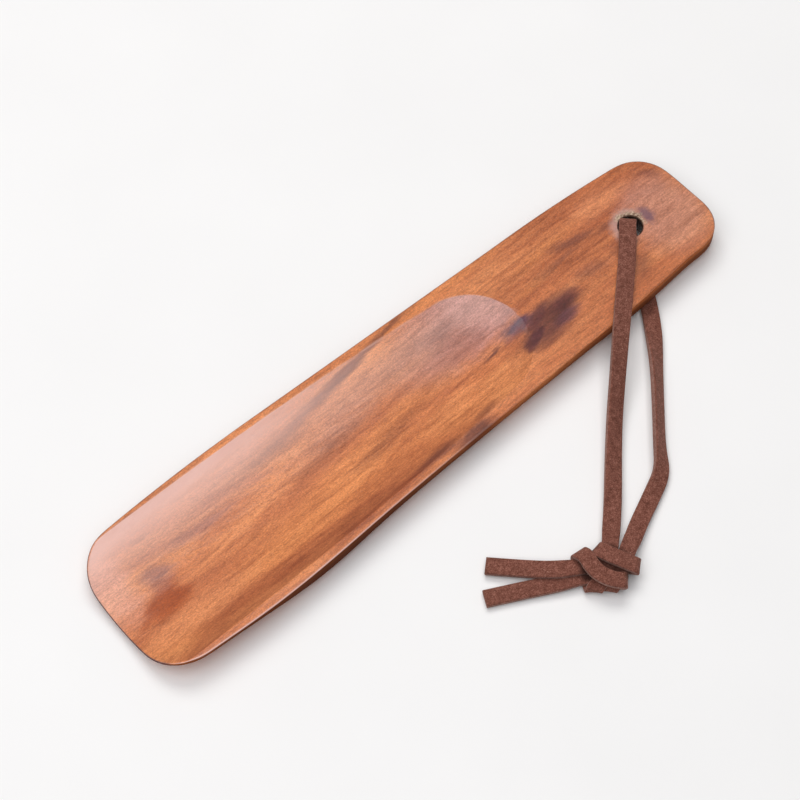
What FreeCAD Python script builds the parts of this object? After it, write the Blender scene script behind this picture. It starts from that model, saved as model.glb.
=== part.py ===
"""A short carved wooden shoehorn with a flat suede hanging lace, lying on its back.

Frame: +X runs to the handle end, +Y to one side, +Z up, millimetres. The origin is
below the middle of the wood, on the surface that it rests on.
"""
import FreeCAD, Part
import math
import os
import Sketcher

os.makedirs("parts", exist_ok=True)

Vector = FreeCAD.Vector
document = FreeCAD.newDocument("shoehorn")

# ---------------------------------------------------------------- driving sizes

SIZES = (
    # outline of the wood seen from above: x along it, w half its width there
    ("tip_edge_x", -97.65, "ends of the gently bowed tip edge"),
    ("tip_edge_w", 10.5, ""),
    ("tip_edge_radius", 180.0, ""),
    ("tip_corner_x", -86.8, "where the tip corner meets the side"),
    ("tip_corner_w", 21.3, ""),
    ("tip_corner_radius", 12.0, ""),
    ("blade_side_radius", 600.0, "the side of the blade, widest in its middle"),
    ("blade_x", -38.0, "where the side turns straight"),
    ("blade_w", 22.0, ""),
    ("neck_side_x", 45.0, "where the straight side ends"),
    ("neck_side_w", 19.55, ""),
    ("handle_side_radius", 460.0, ""),
    ("end_corner_x", 87.3, "where the handle corner begins"),
    ("end_corner_w", 17.0, ""),
    ("end_corner_radius", 11.2, ""),
    ("end_edge_x", 97.7, "ends of the nearly straight handle end"),
    ("end_edge_w", 7.5, ""),
    ("end_edge_radius", 82.0, ""),
    ("trim_reach", 130.0, "half length of the block that the outline is trimmed from"),
    ("trim_reach_w", 40.0, "half width of that block"),
    # side view of the wood
    ("face_z", 7.85, "height of the flat handle face and of the blade's rim"),
    ("handle_under_z", 2.25, "height of the flat underside of the handle"),
    ("handle_x", 63.0, "where the flat handle begins"),
    ("handle_length", 37.0, "from there to just past the handle end"),
    ("blank_w", 22.6, "half width of the blank"),
    # the arched back: height on the centre line (keel) and at the blank's edge
    ("tip_x", -99.75, ""),
    ("tip_keel", 1.8, ""),
    ("tip_edge", 7.3, ""),
    ("toe_x", -85.0, ""),
    ("toe_keel", 0.72, ""),
    ("toe_edge", 6.3, ""),
    ("ball_x", -68.0, ""),
    ("ball_keel", 0.2, ""),
    ("ball_edge", 5.0, ""),
    ("belly_x", -50.0, ""),
    ("belly_keel", 0.05, ""),
    ("belly_edge", 2.6, ""),
    ("flank_x", -28.0, ""),
    ("flank_keel", 0.05, ""),
    ("flank_edge", 3.9, ""),
    ("waist_x", 0.0, ""),
    ("waist_keel", 0.05, ""),
    ("waist_edge", 4.9, ""),
    ("throat_x", 30.0, ""),
    ("throat_keel", 0.35, ""),
    ("throat_edge", 5.0, ""),
    ("neck_x", 48.0, ""),
    ("neck_keel", 1.5, ""),
    ("neck_edge", 3.9, ""),
    # the scoop
    ("scoop_radius", 45.0, "radius of the trough across and of its round start"),
    ("scoop_start_x", 19.75, "centre of the round start"),
    ("scoop_start_depth", 3.13, "depth of the trough there"),
    ("scoop_floor_radius", 3000.0, "lengthwise radius of the trough's floor"),
    ("scoop_deepest_x", -78.75, "where the floor is deepest"),
    ("scoop_open_x", -110.0, "the trough runs out past the tip"),
    # the hang hole and the worked edges
    ("hole_x", 77.8, "centre of the hang hole"),
    ("hole_diameter", 7.0, ""),
    ("hole_chamfer", 0.5, ""),
    # the lace
    ("lace_width", 5.0, "flat suede lace"),
    ("lace_thick", 1.5, ""),
    ("knot_length", 17.0, "overhand knot in both halves of the lace"),
    ("knot_width", 11.5, ""),
    ("knot_height", 6.0, ""),
    ("knot_round", 2.6, ""),
    ("knot_x", 5.0, ""),
    ("knot_y", -68.6, ""),
    ("knot_turn", -41.0, "direction of the knot's long side, degrees"),
)

sheet = document.addObject("Spreadsheet::Sheet", "Sizes")
for row, (alias, size, meaning) in enumerate(SIZES, start=1):
    sheet.set("A%d" % row, alias)
    sheet.set("B%d" % row, str(size))
    sheet.setAlias("B%d" % row, alias)
    sheet.set("C%d" % row, meaning)
document.recompute()


def cell(name):
    """The number in a cell, or its opposite when the name starts with a minus."""
    if name.startswith("-"):
        return -float(sheet.get(name[1:]))
    return float(sheet.get(name))


def bound(name):
    """The expression that reads that cell."""
    if name.startswith("-"):
        return "-Sizes." + name[1:]
    return "Sizes." + name


# ---------------------------------------------------------------- sketch helpers

def new_body(name):
    body = document.addObject("PartDesign::Body", name)
    body.Label = name
    return body


def plane_of(body, role):
    return [feature for feature in body.Origin.OriginFeatures if feature.Role == role][0]


def sketch_on(body, name, role, offset_name=None):
    """A sketch on one of the body's origin planes, moved along its normal by a cell."""
    sketch = body.newObject("Sketcher::SketchObject", name)
    sketch.AttachmentSupport = [(plane_of(body, role), "")]
    sketch.MapMode = "FlatFace"
    if offset_name:
        sketch.AttachmentOffset = FreeCAD.Placement(Vector(0, 0, cell(offset_name)), FreeCAD.Rotation())
        sketch.setExpression(".AttachmentOffset.Base.z", bound(offset_name))
    return sketch


def arc_between(start, end, radius):
    """The short arc of that radius from start to end, bulging to the right of its way."""
    half_chord = (end - start).Length / 2
    sagitta = radius - math.sqrt(radius ** 2 - half_chord ** 2)
    right = Vector(end.y - start.y, start.x - end.x, 0).normalize()
    return Part.Arc(start, (start + end) * 0.5 + right * sagitta, end)


def pin_start(sketch, edge, x_name, y_name):
    """Holds the start of a sketch edge at two cells, measured from the sketch's origin."""
    for kind, name in (("DistanceX", x_name), ("DistanceY", y_name)):
        index = sketch.addConstraint(Sketcher.Constraint(kind, -1, 1, edge, 1, cell(name)))
        sketch.setExpression("Constraints[%d]" % index, bound(name))


def closed_outline(sketch, corners):
    """A closed anticlockwise chain of lines and outward arcs.

    Each corner is (x cell, y cell, radius cell of the edge that leaves it or None).
    """
    points = [Vector(cell(x), cell(y), 0) for x, y, _ in corners]
    first = sketch.GeometryCount
    for here, there, (_, _, radius_name) in zip(points, points[1:] + points[:1], corners):
        if radius_name is None:
            sketch.addGeometry(Part.LineSegment(here, there), False)
        else:
            sketch.addGeometry(arc_between(here, there, cell(radius_name)), False)
    for number, (x_name, y_name, radius_name) in enumerate(corners):
        edge = first + number
        following = first + (number + 1) % len(corners)
        sketch.addConstraint(Sketcher.Constraint("Coincident", edge, 2, following, 1))
        pin_start(sketch, edge, x_name, y_name)
        if radius_name:
            index = sketch.addConstraint(Sketcher.Constraint("Radius", edge, cell(radius_name)))
            sketch.setExpression("Constraints[%d]" % index, bound(radius_name))


# ---------------------------------------------------------------- the wood

STATIONS = ("tip", "toe", "ball", "belly", "flank", "waist", "throat", "neck")


def back_section(body, station):
    """A cross-section of the blank: flat on top, with upright sides and an arched back."""
    sketch = sketch_on(body, station + "_section", "YZ_Plane", station + "_x")
    wide, rise = cell("blank_w"), cell(station + "_edge") - cell(station + "_keel")
    arch = (wide ** 2 + rise ** 2) / (2 * rise)
    corners = (("-blank_w", station + "_edge"), ("blank_w", station + "_edge"),
               ("blank_w", "face_z"), ("-blank_w", "face_z"))
    points = [Vector(cell(y), cell(z), 0) for y, z in corners]
    sketch.addGeometry(arc_between(points[0], points[1], arch), False)
    for here, there in zip(points[1:], points[2:] + points[:1]):
        sketch.addGeometry(Part.LineSegment(here, there), False)
    for edge, (y_name, z_name) in enumerate(corners):
        sketch.addConstraint(Sketcher.Constraint("Coincident", edge, 2, (edge + 1) % 4, 1))
        pin_start(sketch, edge, y_name, z_name)
    index = sketch.addConstraint(Sketcher.Constraint("Radius", 0, arch))
    rise_text = "(Sizes.%s_edge - Sizes.%s_keel)" % (station, station)
    sketch.setExpression("Constraints[%d]" % index,
                         "(Sizes.blank_w ^ 2 + %s ^ 2) / (2 * %s)" % (rise_text, rise_text))
    return sketch


def handle_section(body):
    """The flat handle's rectangular cross-section, where the arched blade ends."""
    sketch = sketch_on(body, "handle_section", "YZ_Plane", "handle_x")
    closed_outline(sketch, (("-blank_w", "handle_under_z", None), ("blank_w", "handle_under_z", None),
                            ("blank_w", "face_z", None), ("-blank_w", "face_z", None)))
    return sketch


def plan_outline(sketch):
    """The shoehorn seen from above, one anticlockwise chain."""
    near_side = (("tip_edge_x", "-tip_edge_w", "tip_corner_radius"),
                 ("tip_corner_x", "-tip_corner_w", "blade_side_radius"),
                 ("blade_x", "-blade_w", None),
                 ("neck_side_x", "-neck_side_w", "handle_side_radius"),
                 ("end_corner_x", "-end_corner_w", "end_corner_radius"),
                 ("end_edge_x", "-end_edge_w", "end_edge_radius"))
    far_side = (("end_edge_x", "end_edge_w", "end_corner_radius"),
                ("end_corner_x", "end_corner_w", "handle_side_radius"),
                ("neck_side_x", "neck_side_w", None),
                ("blade_x", "blade_w", "blade_side_radius"),
                ("tip_corner_x", "tip_corner_w", "tip_corner_radius"),
                ("tip_edge_x", "tip_edge_w", "tip_edge_radius"))
    closed_outline(sketch, near_side + far_side)


def trim_frame(body):
    """A block with the plan outline as its window: what is cut away round the wood."""
    sketch = sketch_on(body, "outline_frame", "XY_Plane")
    closed_outline(sketch, (("-trim_reach", "-trim_reach_w", None), ("trim_reach", "-trim_reach_w", None),
                            ("trim_reach", "trim_reach_w", None), ("-trim_reach", "trim_reach_w", None)))
    plan_outline(sketch)
    return sketch


def scoop_profile(body):
    """Half a lengthwise section of the scoop, with its round start and its long hollow floor."""
    sketch = body.newObject("Sketcher::SketchObject", "scoop_profile")
    sketch.AttachmentSupport = [(plane_of(body, "XZ_Plane"), "")]
    sketch.MapMode = "FlatFace"
    ball, floor = cell("scoop_radius"), cell("scoop_floor_radius")
    axis_z = cell("face_z") - cell("scoop_start_depth") + ball
    sketch.AttachmentOffset = FreeCAD.Placement(Vector(0, axis_z, 0), FreeCAD.Rotation())
    sketch.setExpression(".AttachmentOffset.Base.y",
                         "Sizes.face_z - Sizes.scoop_start_depth + Sizes.scoop_radius")
    start_x, open_x = cell("scoop_start_x"), cell("scoop_open_x")
    # the floor arc touches the ball of the start without a kink
    lean = math.asin((start_x - cell("scoop_deepest_x")) / (floor - ball))
    touch = Vector(start_x + ball * math.sin(lean), -ball * math.cos(lean), 0)
    floor_middle = Vector(start_x - (floor - ball) * math.sin(lean), (floor - ball) * math.cos(lean), 0)
    open_low = Vector(open_x, floor_middle.y - math.sqrt(floor ** 2 - (open_x - floor_middle.x) ** 2), 0)
    far_end = Vector(start_x + ball, 0, 0)
    open_high = Vector(open_x, 0, 0)
    sketch.addGeometry(Part.LineSegment(open_high, open_low), False)
    sketch.addGeometry(arc_between(open_low, touch, floor), False)
    sketch.addGeometry(arc_between(touch, far_end, ball), False)
    sketch.addGeometry(Part.LineSegment(far_end, open_high), False)
    return sketch


def shoehorn_wood():
    body = new_body("shoehorn_blade")
    sections = [back_section(body, station) for station in STATIONS]
    handle = handle_section(body)
    document.recompute()
    blade = body.newObject("PartDesign::AdditiveLoft", "arched_blade")
    blade.Profile = sections[0]
    blade.Sections = sections[1:] + [handle]
    document.recompute()
    grip = body.newObject("PartDesign::Pad", "flat_handle")
    grip.Profile = handle
    grip.Length = cell("handle_length")
    grip.setExpression("Length", bound("handle_length"))
    document.recompute()
    trim = body.newObject("PartDesign::Pocket", "outline_trim")
    trim.Profile = trim_frame(body)
    trim.Type = "ThroughAll"
    trim.Midplane = True
    document.recompute()
    print("trimmed", round(grip.Shape.Volume), round(trim.Shape.Volume))
    scoop = body.newObject("PartDesign::Groove", "scoop")
    scoop.Profile = scoop_profile(body)
    scoop.ReferenceAxis = (scoop.Profile[0], ["H_Axis"])
    scoop.Angle = 360.0
    document.recompute()
    print("scooped", round(scoop.Shape.Volume))
    cut_hang_hole(body)
    return body


def cut_hang_hole(body):
    """The hang hole, with both its rims broken."""
    circle = sketch_on(body, "hole_circle", "XY_Plane")
    centre = Vector(cell("hole_x"), 0, 0)
    circle.addGeometry(Part.Circle(centre, Vector(0, 0, 1), cell("hole_diameter") / 2), False)
    index = circle.addConstraint(Sketcher.Constraint("Diameter", 0, cell("hole_diameter")))
    circle.setExpression("Constraints[%d]" % index, bound("hole_diameter"))
    index = circle.addConstraint(Sketcher.Constraint("DistanceX", -1, 1, 0, 3, cell("hole_x")))
    circle.setExpression("Constraints[%d]" % index, bound("hole_x"))
    circle.addConstraint(Sketcher.Constraint("PointOnObject", 0, 3, -1))
    hole = body.newObject("PartDesign::Pocket", "hang_hole")
    hole.Profile = circle
    hole.Type = "ThroughAll"
    hole.Midplane = True
    document.recompute()
    rims = []
    for number, edge in enumerate(hole.Shape.Edges, start=1):
        box = edge.BoundBox
        if isinstance(edge.Curve, Part.Circle) and abs(box.Center.x - centre.x) < 0.01 and box.ZLength < 0.01:
            rims.append("Edge%d" % number)
    chamfer = body.newObject("PartDesign::Chamfer", "hole_rims")
    chamfer.Base = (hole, rims)
    chamfer.Size = cell("hole_chamfer")
    chamfer.setExpression("Size", bound("hole_chamfer"))
    document.recompute()
    print("rims broken", len(rims), "by", round(hole.Shape.Volume - chamfer.Shape.Volume, 2), "mm3")


# ---------------------------------------------------------------- the lace

# centre lines, from the middle of the hole outwards; the first two points stand one
# above the other in the hole, and the second and third are level
FRONT_ROUTE = (
    (76.95, -0.78, 5.05), (76.95, -0.78, 8.90), (72.40, -4.98, 8.90), (63.60, -12.80, 9.00),
    (52.30, -23.10, 8.90), (44.00, -31.00, 5.20), (36.00, -38.60, 2.50), (27.60, -47.20, 1.50),
    (19.40, -55.80, 1.70), (13.80, -61.30, 2.60), (9.30, -65.60, 3.35),
)
BACK_ROUTE = (
    (77.30, -1.03, 5.05), (77.30, -1.03, 0.95), (74.90, -5.98, 0.95), (70.20, -14.70, 1.00),
    (64.30, -23.40, 0.90), (56.20, -33.20, 0.95), (47.60, -43.30, 0.90), (38.90, -52.30, 1.00),
    (30.20, -59.20, 0.95), (20.50, -64.30, 1.30), (11.20, -67.70, 1.60),
)
UPPER_TAIL_ROUTE = ((1.50, -66.00, 3.00), (-4.40, -60.60, 2.90), (-11.00, -54.00, 2.10), (-17.00, -47.30, 1.20))
LOWER_TAIL_ROUTE = ((0.50, -66.80, 1.15), (-6.90, -62.60, 1.00), (-15.00, -58.10, 0.90), (-23.20, -53.90, 0.95))

ARC_SHARE = 0.45  # of the shorter run, that each bend takes up
UP = Vector(0, 0, 1)


def rounded_path(points, name):
    """Straight runs joined by tangent arcs, as a list of edges from end to end."""
    points = [Vector(*point) for point in points]
    edges = []
    radii = []
    start = points[0]
    for before, corner, after in zip(points, points[1:], points[2:]):
        reach = ARC_SHARE * min((corner - before).Length, (after - corner).Length)
        back = (before - corner).normalize()
        ahead = (after - corner).normalize()
        half_turn = (math.pi - back.getAngle(ahead)) / 2
        radii.append(reach / math.tan(half_turn))
        middle_way = (back + ahead).normalize()
        middle = corner + middle_way * (radii[-1] / math.cos(half_turn) - radii[-1])
        edges.append(Part.LineSegment(start, corner + back * reach).toShape())
        edges.append(Part.Arc(corner + back * reach, middle, corner + ahead * reach).toShape())
        start = corner + ahead * reach
    edges.append(Part.LineSegment(start, points[-1]).toShape())
    print(name, "radii", [round(radius, 1) for radius in radii])
    return edges


def swept_strip(edges, across, binormal):
    """A flat strip along the edges, whose width starts along across; binormal keeps its turn."""
    start = edges[0].valueAt(edges[0].FirstParameter)
    tangent = edges[0].tangentAt(edges[0].FirstParameter)
    half_width = across * (cell("lace_width") / 2)
    half_thick = tangent.cross(across).normalize() * (cell("lace_thick") / 2)
    corners = [start - half_width - half_thick, start + half_width - half_thick,
               start + half_width + half_thick, start - half_width + half_thick]
    sweep = Part.BRepOffsetAPI.MakePipeShell(Part.Wire(edges))
    sweep.setBiNormalMode(binormal)
    sweep.add(Part.makePolygon(corners + corners[:1]))
    sweep.build()
    sweep.makeSolid()
    return sweep.shape()


def lying_strip(edges):
    """A strip that keeps its flat side up."""
    tangent = edges[0].tangentAt(edges[0].FirstParameter)
    return swept_strip(edges, UP.cross(tangent).normalize(), UP)


def lace_strip(name, route, fold):
    """One stretch of the flat lace. With fold, it first stands in the hole and turns level."""
    edges = rounded_path(route, name)
    length = sum(edge.Length for edge in edges)
    if fold:
        # the run in the hole and the fold over its rim keep one level width direction
        level = Vector(*route[2]) - Vector(*route[1])
        sideways = UP.cross(level).normalize()
        standing = swept_strip(edges[:2], sideways, sideways)
        shape = standing.fuse(lying_strip(edges[2:])).removeSplitter()
    else:
        shape = lying_strip(edges)
    strip = document.addObject("Part::Feature", name)
    strip.Label = name
    strip.Shape = shape.Solids[0] if len(shape.Solids) == 1 else shape
    strip.Placement = FreeCAD.Placement()
    expected = length * cell("lace_width") * cell("lace_thick")
    print(name, "length", round(length, 1), "volume", round(shape.Volume, 1), "expected", round(expected, 1))
    return strip


def lace_knot():
    """The overhand knot as one rounded block that rests on the surface."""
    body = new_body("lace_knot")
    sketch = sketch_on(body, "knot_outline", "XY_Plane")
    long_half, wide_half = cell("knot_length") / 2, cell("knot_width") / 2
    corners = [Vector(-long_half, -wide_half, 0), Vector(long_half, -wide_half, 0),
               Vector(long_half, wide_half, 0), Vector(-long_half, wide_half, 0)]
    for here, there in zip(corners, corners[1:] + corners[:1]):
        sketch.addGeometry(Part.LineSegment(here, there), False)
    signs = ((-1, -1), (1, -1), (1, 1), (-1, 1))
    for edge, (sign_x, sign_y) in enumerate(signs):
        sketch.addConstraint(Sketcher.Constraint("Coincident", edge, 2, (edge + 1) % 4, 1))
        for kind, sign, alias in (("DistanceX", sign_x, "knot_length"), ("DistanceY", sign_y, "knot_width")):
            size = sign * cell(alias) / 2
            index = sketch.addConstraint(Sketcher.Constraint(kind, -1, 1, edge, 1, size))
            sketch.setExpression("Constraints[%d]" % index, "%d * Sizes.%s / 2" % (sign, alias))
    document.recompute()
    block = body.newObject("PartDesign::Pad", "knot_block")
    block.Profile = sketch
    block.Length = cell("knot_height")
    block.setExpression("Length", bound("knot_height"))
    document.recompute()
    rounding = body.newObject("PartDesign::Fillet", "knot_rounding")
    rounding.Base = (block, ["Edge%d" % (number + 1) for number in range(len(block.Shape.Edges))])
    rounding.Radius = cell("knot_round")
    rounding.setExpression("Radius", bound("knot_round"))
    turn = FreeCAD.Rotation(UP, cell("knot_turn"))
    body.Placement = FreeCAD.Placement(Vector(cell("knot_x"), cell("knot_y"), 0), turn)
    body.setExpression(".Placement.Base.x", bound("knot_x"))
    body.setExpression(".Placement.Base.y", bound("knot_y"))
    document.recompute()
    return body


# ---------------------------------------------------------------- the assembly

def main():
    sub_parts = [
        shoehorn_wood(),
        lace_strip("lace_front_strand", FRONT_ROUTE, fold=True),
        lace_strip("lace_back_strand", BACK_ROUTE, fold=True),
        lace_knot(),
        lace_strip("lace_tail_upper", UPPER_TAIL_ROUTE, fold=False),
        lace_strip("lace_tail_lower", LOWER_TAIL_ROUTE, fold=False),
    ]
    document.recompute()
    for item in document.Objects:
        if "Invalid" in item.State or "Error" in item.State:
            raise RuntimeError("%s failed: %s" % (item.Label, item.State))
    for item in sub_parts:
        if item.Shape.isNull() or not item.Shape.isValid():
            raise RuntimeError("%s has no valid shape" % item.Label)
        item.Shape.exportStep("parts/%s.step" % item.Label)
        box = item.Shape.BoundBox
        print(item.Label, round(item.Shape.Volume, 1), "mm3, solids", len(item.Shape.Solids),
              [round(v, 2) for v in (box.XMin, box.XMax, box.YMin, box.YMax, box.ZMin, box.ZMax)])


main()
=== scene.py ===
"""A short wooden shoehorn with a flat suede lace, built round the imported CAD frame."""

import bmesh
import bpy
import math
import numpy as np
from mathutils import Matrix, Vector


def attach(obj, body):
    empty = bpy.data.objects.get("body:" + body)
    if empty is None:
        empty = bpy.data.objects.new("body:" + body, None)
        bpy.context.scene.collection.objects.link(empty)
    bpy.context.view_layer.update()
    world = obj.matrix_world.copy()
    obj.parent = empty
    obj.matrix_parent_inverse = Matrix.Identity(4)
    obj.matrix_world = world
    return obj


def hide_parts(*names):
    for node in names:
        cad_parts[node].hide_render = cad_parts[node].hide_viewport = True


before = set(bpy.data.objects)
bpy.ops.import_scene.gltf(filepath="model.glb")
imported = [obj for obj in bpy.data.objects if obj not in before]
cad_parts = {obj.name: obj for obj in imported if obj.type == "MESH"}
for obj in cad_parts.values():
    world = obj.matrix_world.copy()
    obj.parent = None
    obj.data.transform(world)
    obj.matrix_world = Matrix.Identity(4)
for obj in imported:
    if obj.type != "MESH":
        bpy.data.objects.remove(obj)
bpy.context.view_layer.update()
MM = 0.001
UP = Vector((0, 0, 1))


# ---------------------------------------------------------------- node graphs

class Graph:
    """A material's node tree, built by short calls. A value is a number, a colour or a socket."""

    def __init__(self, name):
        self.material = bpy.data.materials.new(name)
        self.material.use_nodes = True
        self.tree = self.material.node_tree
        self.tree.nodes.clear()
        self.output = self.tree.nodes.new("ShaderNodeOutputMaterial")
        self.place = self.tree.nodes.new("ShaderNodeTexCoord").outputs["Object"]

    def feed(self, socket, value):
        if isinstance(value, bpy.types.NodeSocket):
            self.tree.links.new(value, socket)
        else:
            socket.default_value = value

    def node(self, kind, inputs=(), **settings):
        made = self.tree.nodes.new("ShaderNode" + kind)
        for name, value in settings.items():
            setattr(made, name, value)
        for name, value in dict(inputs).items():
            self.feed(made.inputs[name], value)
        return made

    def math(self, operation, first, second=0.0):
        made = self.node("Math", operation=operation)
        for socket, value in zip(made.inputs, (first, second)):
            self.feed(socket, value)
        return made.outputs[0]

    def stretch(self, scale, shift=(0, 0, 0)):
        """Object coordinates in millimetres, moved by shift and then scaled along each axis."""
        factors = [each / MM for each in scale]
        moved = self.node("VectorMath", operation="MULTIPLY_ADD")
        self.feed(moved.inputs[0], self.place)
        moved.inputs[1].default_value = factors
        moved.inputs[2].default_value = [-each * size for each, size in zip(shift, scale)]
        return moved.outputs[0]

    def noise(self, scale, detail=2.0, roughness=0.5, distortion=0.0, shift=(0, 0, 0)):
        """Noise with the given number of features per millimetre along each axis."""
        return self.node("TexNoise", {"Vector": self.stretch(scale, shift), "Scale": 1.0, "Detail": detail,
                                      "Roughness": roughness, "Distortion": distortion}).outputs["Fac"]

    def span(self, value, low, high):
        """0 at low and 1 at high, with a smooth step between; low may be the greater."""
        ends = {"Value": value, "From Min": low, "From Max": high}
        return self.node("MapRange", ends, interpolation_type="SMOOTHSTEP").outputs[0]

    def ramp(self, value, stops):
        made = self.node("ValToRGB", {"Fac": value})
        elements = made.color_ramp.elements
        while len(elements) < len(stops):
            elements.new(0.5)
        for element, (position, colour) in zip(elements, stops):
            element.position = position
            element.color = (*colour, 1)
        return made.outputs["Color"]

    def mix(self, amount, first, second, blend="MIX"):
        made = self.node("Mix", data_type="RGBA", blend_type=blend)
        for name, value in (("Factor_Float", amount), ("A_Color", first), ("B_Color", second)):
            socket = [each for each in made.inputs if each.identifier == name][0]
            self.feed(socket, (*value, 1) if isinstance(value, tuple) and len(value) == 3 else value)
        return [each for each in made.outputs if each.identifier == "Result_Color"][0]

    def axes(self):
        """The object coordinates x, y and z in millimetres."""
        split = self.node("SeparateXYZ", {"Vector": self.stretch((1, 1, 1))})
        return split.outputs

    def finish(self, shader):
        self.tree.links.new(shader.outputs[0], self.output.inputs["Surface"])
        return self.material


# ---------------------------------------------------------------- camera and light

CAMERA_PLACE = Vector((-0.20045, -0.2258, 0.5710))
CAMERA_TARGET = Vector((-0.00167, 0.00369, 0.0))
CAMERA_LENS = 110
CAMERA_SENSOR = 36
VIEW_AWAY = Vector((CAMERA_TARGET.x - CAMERA_PLACE.x, CAMERA_TARGET.y - CAMERA_PLACE.y, 0)).normalized()
VIEW_RIGHT = VIEW_AWAY.cross(UP)
WORLD_STRENGTH = 0.16
FLOOR_REACH = 3.0
FLOOR_DROP = 0.0002  # below the wood, so that the two don't share a plane


def camera():
    data = bpy.data.cameras.new("camera")
    data.lens = CAMERA_LENS
    data.sensor_width = CAMERA_SENSOR
    item = bpy.data.objects.new("camera", data)
    bpy.context.scene.collection.objects.link(item)
    item.location = CAMERA_PLACE
    item.rotation_mode = "QUATERNION"
    item.rotation_quaternion = (CAMERA_TARGET - CAMERA_PLACE).to_track_quat("-Z", "Y")
    bpy.context.scene.camera = item


def softbox(name, place, aim, size, watts, colour=(1, 1, 1)):
    """A rectangular light that faces the aim, with its first side level and across the view."""
    data = bpy.data.lights.new(name, "AREA")
    data.shape = "RECTANGLE"
    data.size, data.size_y = size
    data.energy = watts
    data.color = colour
    item = bpy.data.objects.new(name, data)
    item.location = place
    back = (Vector(place) - Vector(aim)).normalized()
    side = VIEW_RIGHT - back * VIEW_RIGHT.dot(back)
    side.normalize()
    turned = Matrix((side, back.cross(side), back)).transposed()
    item.rotation_mode = "QUATERNION"
    item.rotation_quaternion = turned.to_quaternion()
    bpy.context.scene.collection.objects.link(item)
    return item


def view_place(right, away, up):
    """A place given along the floor to the camera's right, away from the camera, and up."""
    return VIEW_RIGHT * right + VIEW_AWAY * away + UP * up


def studio():
    """One large box overhead, a fill from behind that leaves no reflection, and a faint sky."""
    overhead = view_place(-0.31, -0.36, 1.0)
    softbox("overhead_softbox", overhead, overhead - UP, (1.46, 1.16), 9.4, (1.0, 0.99, 1.0))
    back = softbox("back_fill", view_place(-0.1, 0.70, 1.1), (0, 0, 0), (1.1, 0.6), 8.4,
                   (1.0, 0.98, 0.95))
    back.visible_glossy = False
    world = bpy.data.worlds.new("studio_fill")
    world.use_nodes = True
    background = world.node_tree.nodes["Background"]
    background.inputs["Color"].default_value = (0.97, 0.98, 1.0, 1)
    background.inputs["Strength"].default_value = WORLD_STRENGTH
    bpy.context.scene.world = world
    bpy.context.scene.view_settings.view_transform = "Standard"


def floor():
    mesh = bpy.data.meshes.new("floor")
    corners = [(side_x * FLOOR_REACH, side_y * FLOOR_REACH, 0)
               for side_x, side_y in ((-1, -1), (1, -1), (1, 1), (-1, 1))]
    mesh.from_pydata(corners, [], [(0, 1, 2, 3)])
    item = bpy.data.objects.new("floor", mesh)
    item.location.z = -FLOOR_DROP
    bpy.context.scene.collection.objects.link(item)
    graph = Graph("pale_floor")
    tone = graph.ramp(graph.noise((0.02, 0.02, 0.02)),
                      ((0.3, (0.91, 0.91, 0.91)), (0.7, (0.93, 0.93, 0.93))))
    shader = graph.node("BsdfPrincipled", {"Base Color": tone, "Roughness": 0.9,
                                           "Specular IOR Level": 0.1})
    mesh.materials.append(graph.finish(shader))


# ---------------------------------------------------------------- the wood's shape

# corners of the outline seen from above, from the tip to the handle end along the near side:
# x, half width, and the radius of the edge that leaves it (None for a straight one)
OUTLINE_CORNERS = (
    (-97.65, 10.5, 12.0), (-86.8, 21.3, 600.0), (-38.0, 22.0, None), (45.0, 19.55, 460.0),
    (87.3, 17.0, 11.2), (97.7, 7.5, None),
)
# where the hand-cut outline stands proud of its arcs: x, y, how far, and over what length
OUTLINE_SWELLS = ((94.0, -12.8, 1.5, 7.5), (-66.0, -21.5, 1.0, 28.0), (-92.0, -17.0, 0.4, 8.0))
TIP_EDGE_RADIUS = 180.0
END_EDGE_RADIUS = 82.0
FACE_Z = 7.85
HANDLE_UNDER_Z = 2.25
BACK_HALF_WIDTH = 22.6
# the arched back: x, height on the centre line, height at the blank's edge
BACK_STATIONS = (
    (-99.75, 1.8, 7.3), (-85, 0.72, 6.3), (-68, 0.2, 5.0), (-50, 0.05, 2.6), (-28, 0.05, 3.9),
    (0, 0.05, 4.9), (30, 0.35, 5.0), (48, 1.5, 3.9),
) + tuple((x, HANDLE_UNDER_Z, HANDLE_UNDER_Z) for x in (63, 75, 87, 100))
LEAST_KEEL = 0.03  # the back stays this far above the floor
SCOOP_RADIUS = 45.0
SCOOP_START_X = 19.75
SCOOP_START_DEPTH = 3.13
SCOOP_FLOOR_RADIUS = 3000.0
SCOOP_DEEPEST_X = -78.75
SCOOP_AXIS_Z = FACE_Z - SCOOP_START_DEPTH + SCOOP_RADIUS
TIP_ROLL = 0.0030  # the top's drop past TIP_ROLL_X, per square millimetre
TIP_ROLL_X = -84.0
HOLE_X = 77.8
HOLE_RADIUS = 3.35
HOLE_CHAMFER = 0.2
HOLE_MIDDLE = 5.05
SPINE_ENDS = (-82.0, 80.0)  # the line that the mesh's rays run in to
SPINE_STEP = 2.0  # rays from both sides meet at the same points, this far apart
OUTLINE_STEP = 0.7
OUTLINE_SMOOTHINGS = 10
TOP_ROUND = 0.62
UNDER_ROUND = 0.9
TOP_WALL_SHARE = 0.34  # of the wall's height, the most that its top edge's rounding takes
UNDER_WALL_SHARE = 0.42
CREASE_ROUND = 0.16
SHARP_ANGLE = math.radians(32)
SIDE_NORMALS = (-0.93, 0.55)  # a face whose normal's z is between these is bare side wood
HOLE_WALL = 1.0  # lacquered faces reach this far outside the hole's radius


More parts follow.
